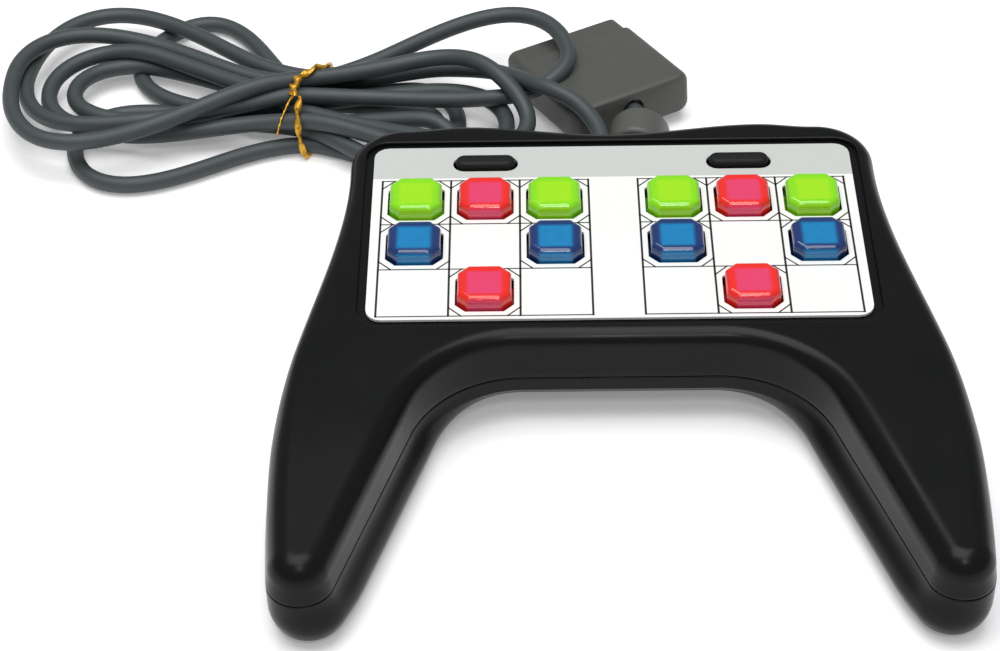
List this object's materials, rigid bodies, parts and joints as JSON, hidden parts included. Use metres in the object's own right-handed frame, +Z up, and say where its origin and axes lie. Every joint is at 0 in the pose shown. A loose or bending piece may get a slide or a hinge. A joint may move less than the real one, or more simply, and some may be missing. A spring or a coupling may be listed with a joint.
{
  "type": "corded gamepad",
  "caption": "Wide two-grip gamepad with blocks of square coloured press keys and slim pill keys on a printed plate, with a tied cord and a flat plug.",
  "frame": {"origin": "centre of the pad's plan at the height of the surface that it rests on, measured without the cord", "axes": "+Z up, +X to the player's right hand, +Y to the rear edge where the cord leaves"},
  "size_m": [0.2744, 0.2649, 0.0329],
  "materials": {
    "shell": "fine satin texture",
    "plate": "printed white sheet",
    "green": "polished translucent",
    "red": "polished translucent",
    "blue": "polished translucent",
    "rubber": "matt black",
    "keypad": "pale silicone",
    "board": "solder mask on laminate",
    "chip": "moulded epoxy",
    "resonator": "dipped ceramic",
    "capacitor": "shrunk sleeve",
    "header": "natural nylon",
    "screw": "zinc plated",
    "cord": "soft matt jacket",
    "bead": "moulded grey",
    "plug": "fine grain grey",
    "contact": "moulded insert",
    "tie": "twisted gold foil"
  },
  "bodies": {
    "case": {"top_shell": "shell", "bottom_shell": "shell", "face_plate": "plate", "left_keypad": "keypad", "right_keypad": "keypad", "pill_keypad": "keypad", "circuit_board": "board", "controller_chip": "chip", "resonator": "resonator", "capacitor": "capacitor", "lead_header": "header", "left_rear_case_screw": "screw", "right_rear_case_screw": "screw", "left_root_case_screw": "screw", "right_root_case_screw": "screw", "left_grip_case_screw": "screw", "right_grip_case_screw": "screw", "left_board_screw": "screw", "front_board_screw": "screw", "right_board_screw": "screw", "middle_board_screw": "screw", "cord_gland": "rubber", "inner_lead": "cord", "cord_lead": "cord", "cord_tail": "cord", "cord_stub": "cord", "cord_hank": "cord", "twist_tie": "tie", "ferrite_bead": "bead", "plug_housing": "plug", "plug_contact_block": "contact"},
    "left_rear_left": {"left_rear_left_key": "green"},
    "left_rear_middle": {"left_rear_middle_key": "red"},
    "left_rear_right": {"left_rear_right_key": "green"},
    "left_middle_left": {"left_middle_left_key": "blue"},
    "left_middle_right": {"left_middle_right_key": "blue"},
    "left_front_middle": {"left_front_middle_key": "red"},
    "right_rear_left": {"right_rear_left_key": "green"},
    "right_rear_middle": {"right_rear_middle_key": "red"},
    "right_rear_right": {"right_rear_right_key": "green"},
    "right_middle_left": {"right_middle_left_key": "blue"},
    "right_middle_right": {"right_middle_right_key": "blue"},
    "right_front_middle": {"right_front_middle_key": "red"},
    "left_pill": {"left_pill_key": "rubber"},
    "right_pill": {"right_pill_key": "rubber"}
  },
  "joints": [
    {"name": "left_rear_left_press", "type": "slide", "parent": "case", "child": "left_rear_left", "axis": [0, 0, -1], "range_m": [0, 0.0015], "stiffness_N_per_m": 400, "springref_m": -0.0005, "deforming": ["left_keypad"]},
    {"name": "left_rear_middle_press", "type": "slide", "parent": "case", "child": "left_rear_middle", "axis": [0, 0, -1], "range_m": [0, 0.0015], "stiffness_N_per_m": 400, "springref_m": -0.0005, "deforming": ["left_keypad"]},
    {"name": "left_rear_right_press", "type": "slide", "parent": "case", "child": "left_rear_right", "axis": [0, 0, -1], "range_m": [0, 0.0015], "stiffness_N_per_m": 400, "springref_m": -0.0005, "deforming": ["left_keypad"]},
    {"name": "left_middle_left_press", "type": "slide", "parent": "case", "child": "left_middle_left", "axis": [0, 0, -1], "range_m": [0, 0.0015], "stiffness_N_per_m": 400, "springref_m": -0.0005, "deforming": ["left_keypad"]},
    {"name": "left_middle_right_press", "type": "slide", "parent": "case", "child": "left_middle_right", "axis": [0, 0, -1], "range_m": [0, 0.0015], "stiffness_N_per_m": 400, "springref_m": -0.0005, "deforming": ["left_keypad"]},
    {"name": "left_front_middle_press", "type": "slide", "parent": "case", "child": "left_front_middle", "axis": [0, 0, -1], "range_m": [0, 0.0015], "stiffness_N_per_m": 400, "springref_m": -0.0005, "deforming": ["left_keypad"]},
    {"name": "right_rear_left_press", "type": "slide", "parent": "case", "child": "right_rear_left", "axis": [0, 0, -1], "range_m": [0, 0.0015], "stiffness_N_per_m": 400, "springref_m": -0.0005, "deforming": ["right_keypad"]},
    {"name": "right_rear_middle_press", "type": "slide", "parent": "case", "child": "right_rear_middle", "axis": [0, 0, -1], "range_m": [0, 0.0015], "stiffness_N_per_m": 400, "springref_m": -0.0005, "deforming": ["right_keypad"]},
    {"name": "right_rear_right_press", "type": "slide", "parent": "case", "child": "right_rear_right", "axis": [0, 0, -1], "range_m": [0, 0.0015], "stiffness_N_per_m": 400, "springref_m": -0.0005, "deforming": ["right_keypad"]},
    {"name": "right_middle_left_press", "type": "slide", "parent": "case", "child": "right_middle_left", "axis": [0, 0, -1], "range_m": [0, 0.0015], "stiffness_N_per_m": 400, "springref_m": -0.0005, "deforming": ["right_keypad"]},
    {"name": "right_middle_right_press", "type": "slide", "parent": "case", "child": "right_middle_right", "axis": [0, 0, -1], "range_m": [0, 0.0015], "stiffness_N_per_m": 400, "springref_m": -0.0005, "deforming": ["right_keypad"]},
    {"name": "right_front_middle_press", "type": "slide", "parent": "case", "child": "right_front_middle", "axis": [0, 0, -1], "range_m": [0, 0.0015], "stiffness_N_per_m": 400, "springref_m": -0.0005, "deforming": ["right_keypad"]},
    {"name": "left_pill_press", "type": "slide", "parent": "case", "child": "left_pill", "axis": [0, 0, -1], "range_m": [0, 0.001], "stiffness_N_per_m": 400, "springref_m": -0.0005, "deforming": ["pill_keypad"]},
    {"name": "right_pill_press", "type": "slide", "parent": "case", "child": "right_pill", "axis": [0, 0, -1], "range_m": [0, 0.001], "stiffness_N_per_m": 400, "springref_m": -0.0005, "deforming": ["pill_keypad"]}
  ]
}
